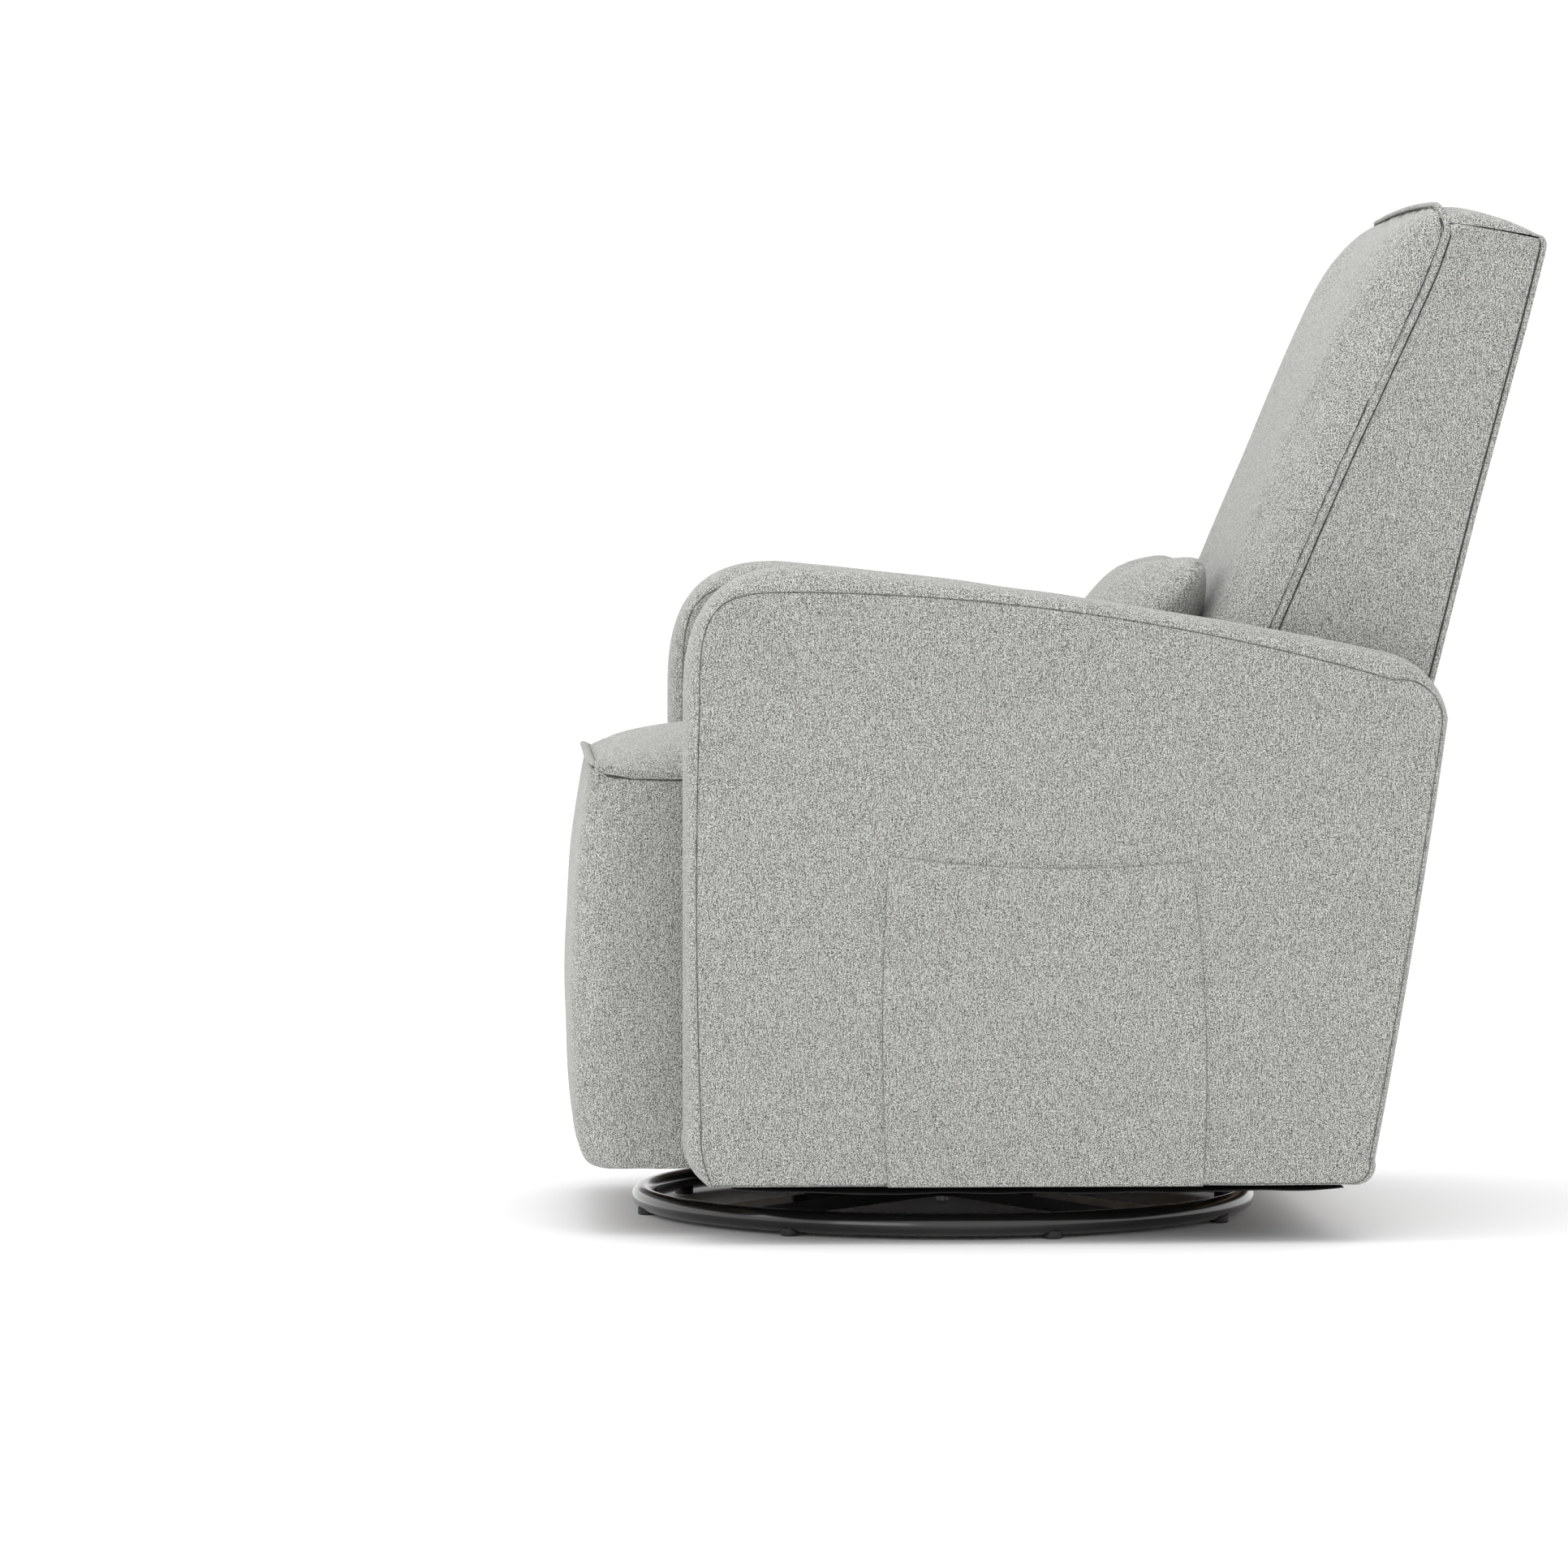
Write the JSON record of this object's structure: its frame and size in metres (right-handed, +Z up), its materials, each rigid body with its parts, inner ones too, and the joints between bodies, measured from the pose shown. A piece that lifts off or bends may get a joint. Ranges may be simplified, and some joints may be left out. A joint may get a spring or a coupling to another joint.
{
  "type": "swivel glider chair",
  "caption": "Upholstered nursery glider with boxed seat, padded arms with side pockets, high leaning back and lumbar pillow, swinging on links over a swivelling ring base.",
  "frame": {"origin": "bottom centre of the chair's bounding box, on the floor", "axes": "+Z up, the sitter faces -Y, the sitter's left arm is at +X"},
  "size_m": [0.713, 0.9631, 1.013],
  "materials": {
    "fabric": "light grey heather weave",
    "black_steel": "black powder coat, satin gloss",
    "bearing_steel": "ground",
    "zinc_steel": "zinc plated",
    "nylon": "matte",
    "glide_plastic": "matte",
    "rubber": "matte",
    "plywood": "bare plywood",
    "spring_wire": "oiled wire",
    "felt": "pressed felt",
    "webbing": "elastic webbing",
    "dust_cloth": "non-woven cloth"
  },
  "bodies": {
    "base": {"base_ring": "black_steel", "cross_channel_full": "black_steel", "cross_channel_halves": "black_steel", "hub_plate": "black_steel", "bearing_race_lower": "bearing_steel", "bearing_balls": "bearing_steel", "king_bolt": "zinc_steel", "king_nut": "zinc_steel", "foot_glides": "glide_plastic"},
    "swivel_carriage": {"bearing_race_upper": "bearing_steel", "carriage_plate": "black_steel", "carriage_rails": "black_steel", "carriage_rivets": "zinc_steel", "race_screws": "zinc_steel", "carriage_towers": "black_steel", "upper_pivot_pins": "zinc_steel", "upper_bushes": "nylon", "stop_bumpers": "rubber"},
    "link_front_left": {"link_front_left": "black_steel"},
    "link_front_right": {"link_front_right": "black_steel"},
    "link_rear_left": {"link_rear_left": "black_steel"},
    "link_rear_right": {"link_rear_right": "black_steel"},
    "pillow": {"lumbar_pillow": "fabric"},
    "seat_unit": {"arm_bolts": "zinc_steel", "arm_frame_left": "plywood", "arm_frame_right": "plywood", "arm_pad_left": "fabric", "arm_pad_right": "fabric", "arm_pocket_left": "fabric", "arm_pocket_right": "fabric", "back_brackets": "zinc_steel", "back_cushion": "fabric", "back_outer_panel": "fabric", "back_rails": "plywood", "back_side_panel_left": "fabric", "back_side_panel_right": "fabric", "back_stiles": "plywood", "back_top_panel": "fabric", "back_webbing": "webbing", "bracket_screws": "zinc_steel", "corner_blocks": "plywood", "dust_cover_left": "dust_cloth", "dust_cover_right": "dust_cloth", "front_board": "plywood", "lower_bushes": "nylon", "lower_pivot_pins": "zinc_steel", "rail_bolts": "zinc_steel", "rail_ties": "black_steel", "rear_board": "plywood", "seat_cushion": "fabric", "seat_front_panel": "fabric", "seat_hangers": "black_steel", "seat_rails": "black_steel", "seat_runners": "plywood", "seat_side_panels": "fabric", "seat_springs": "spring_wire", "side_boards": "plywood", "spring_clips": "spring_wire", "spring_felt": "felt"}
  },
  "joints": [
    {"name": "swivel", "type": "hinge", "parent": "base", "child": "swivel_carriage", "pos_m": [0, -0.098, 0.042], "axis": [0, 0, 1], "continuous": true},
    {"name": "glide", "type": "hinge", "parent": "swivel_carriage", "child": "link_front_left", "pos_m": [0.146, -0.215, 0.195], "axis": [1, 0, 0], "range_deg": [-28, 28]},
    {"name": "seat_level", "type": "hinge", "parent": "link_front_left", "child": "seat_unit", "pos_m": [0.146, -0.215, 0.075], "axis": [1, 0, 0], "range_deg": [-28, 28]},
    {"name": "glide_front_right", "type": "hinge", "parent": "swivel_carriage", "child": "link_front_right", "pos_m": [-0.146, -0.215, 0.195], "axis": [1, 0, 0], "range_deg": [-28, 28]},
    {"name": "glide_rear_left", "type": "hinge", "parent": "swivel_carriage", "child": "link_rear_left", "pos_m": [0.146, -0.025, 0.195], "axis": [1, 0, 0], "range_deg": [-28, 28]},
    {"name": "glide_rear_right", "type": "hinge", "parent": "swivel_carriage", "child": "link_rear_right", "pos_m": [-0.146, -0.025, 0.195], "axis": [1, 0, 0], "range_deg": [-28, 28]},
    {"name": "pillow_lift", "type": "slide", "parent": "seat_unit", "child": "pillow", "axis": [0, 0, 1], "range_m": [0, 0.35]}
  ],
  "couplings": [
    {"joint": "seat_level", "follows": "glide", "ratio": -1},
    {"joint": "glide_front_right", "follows": "glide", "ratio": 1},
    {"joint": "glide_rear_left", "follows": "glide", "ratio": 1},
    {"joint": "glide_rear_right", "follows": "glide", "ratio": 1}
  ]
}
